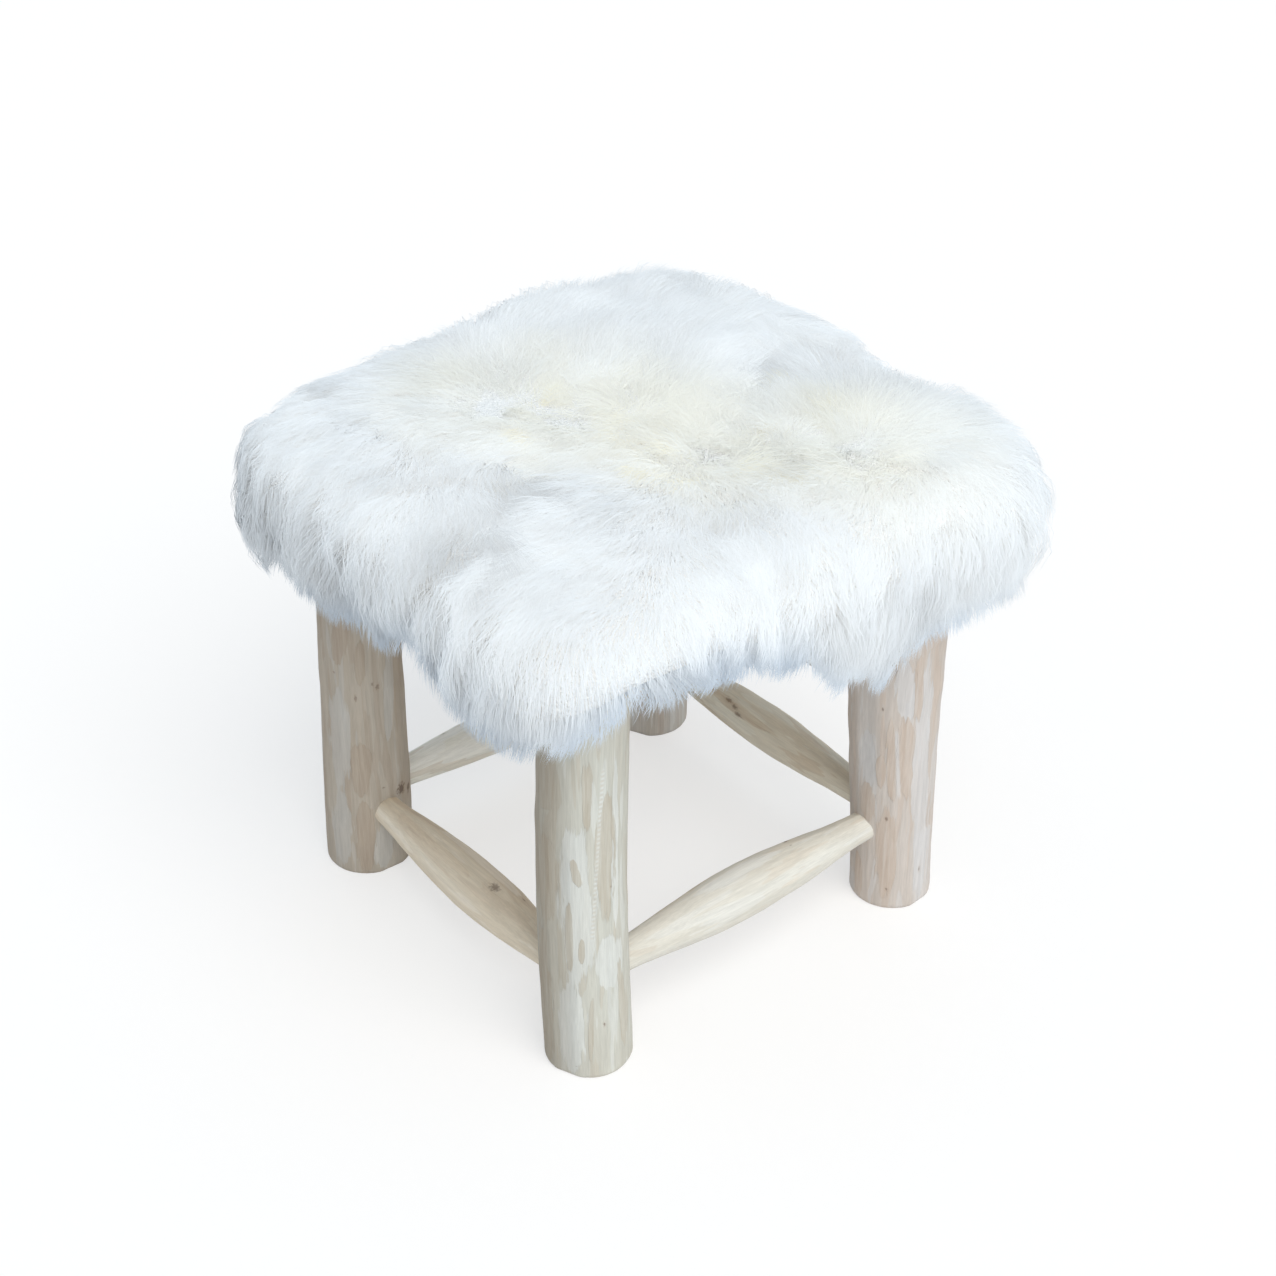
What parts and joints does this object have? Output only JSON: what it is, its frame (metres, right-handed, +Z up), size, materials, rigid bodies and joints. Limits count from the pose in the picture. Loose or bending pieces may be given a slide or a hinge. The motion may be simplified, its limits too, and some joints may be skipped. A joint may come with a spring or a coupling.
{
  "type": "sheepskin stool",
  "caption": "Low square stool with peeled log legs, whittled stretchers and a padded seat covered in long-haired white sheepskin.",
  "frame": {"origin": "on the floor under the middle of the seat", "axes": "+Z up, -Y towards the front stretcher, +X towards the right stretcher"},
  "size_m": [0.5246, 0.5238, 0.4721],
  "materials": {
    "peeled_log": "raw peeled log with drawknife flats",
    "whittled_wood": "raw, shaved smooth",
    "plywood": "raw plywood",
    "foam": "soft foam",
    "tanned_skin": "suede side of a tanned sheepskin",
    "wool": "long natural sheep's wool",
    "screw_steel": "zinc plated",
    "tack_steel": "plain steel"
  },
  "bodies": {
    "root": {"leg_front_left": "peeled_log", "leg_front_right": "peeled_log", "leg_back_right": "peeled_log", "leg_back_left": "peeled_log", "stretcher_front": "whittled_wood", "stretcher_right": "whittled_wood", "stretcher_back": "whittled_wood", "stretcher_left": "whittled_wood", "top_rail_front": "whittled_wood", "top_rail_right": "whittled_wood", "top_rail_back": "whittled_wood", "top_rail_left": "whittled_wood", "seat_board": "plywood", "foam_pad": "foam", "sheepskin_pelt": "tanned_skin", "wool_fleece": "wool", "seat_screws": "screw_steel", "edge_tacks": "tack_steel"}
  },
  "joints": []
}
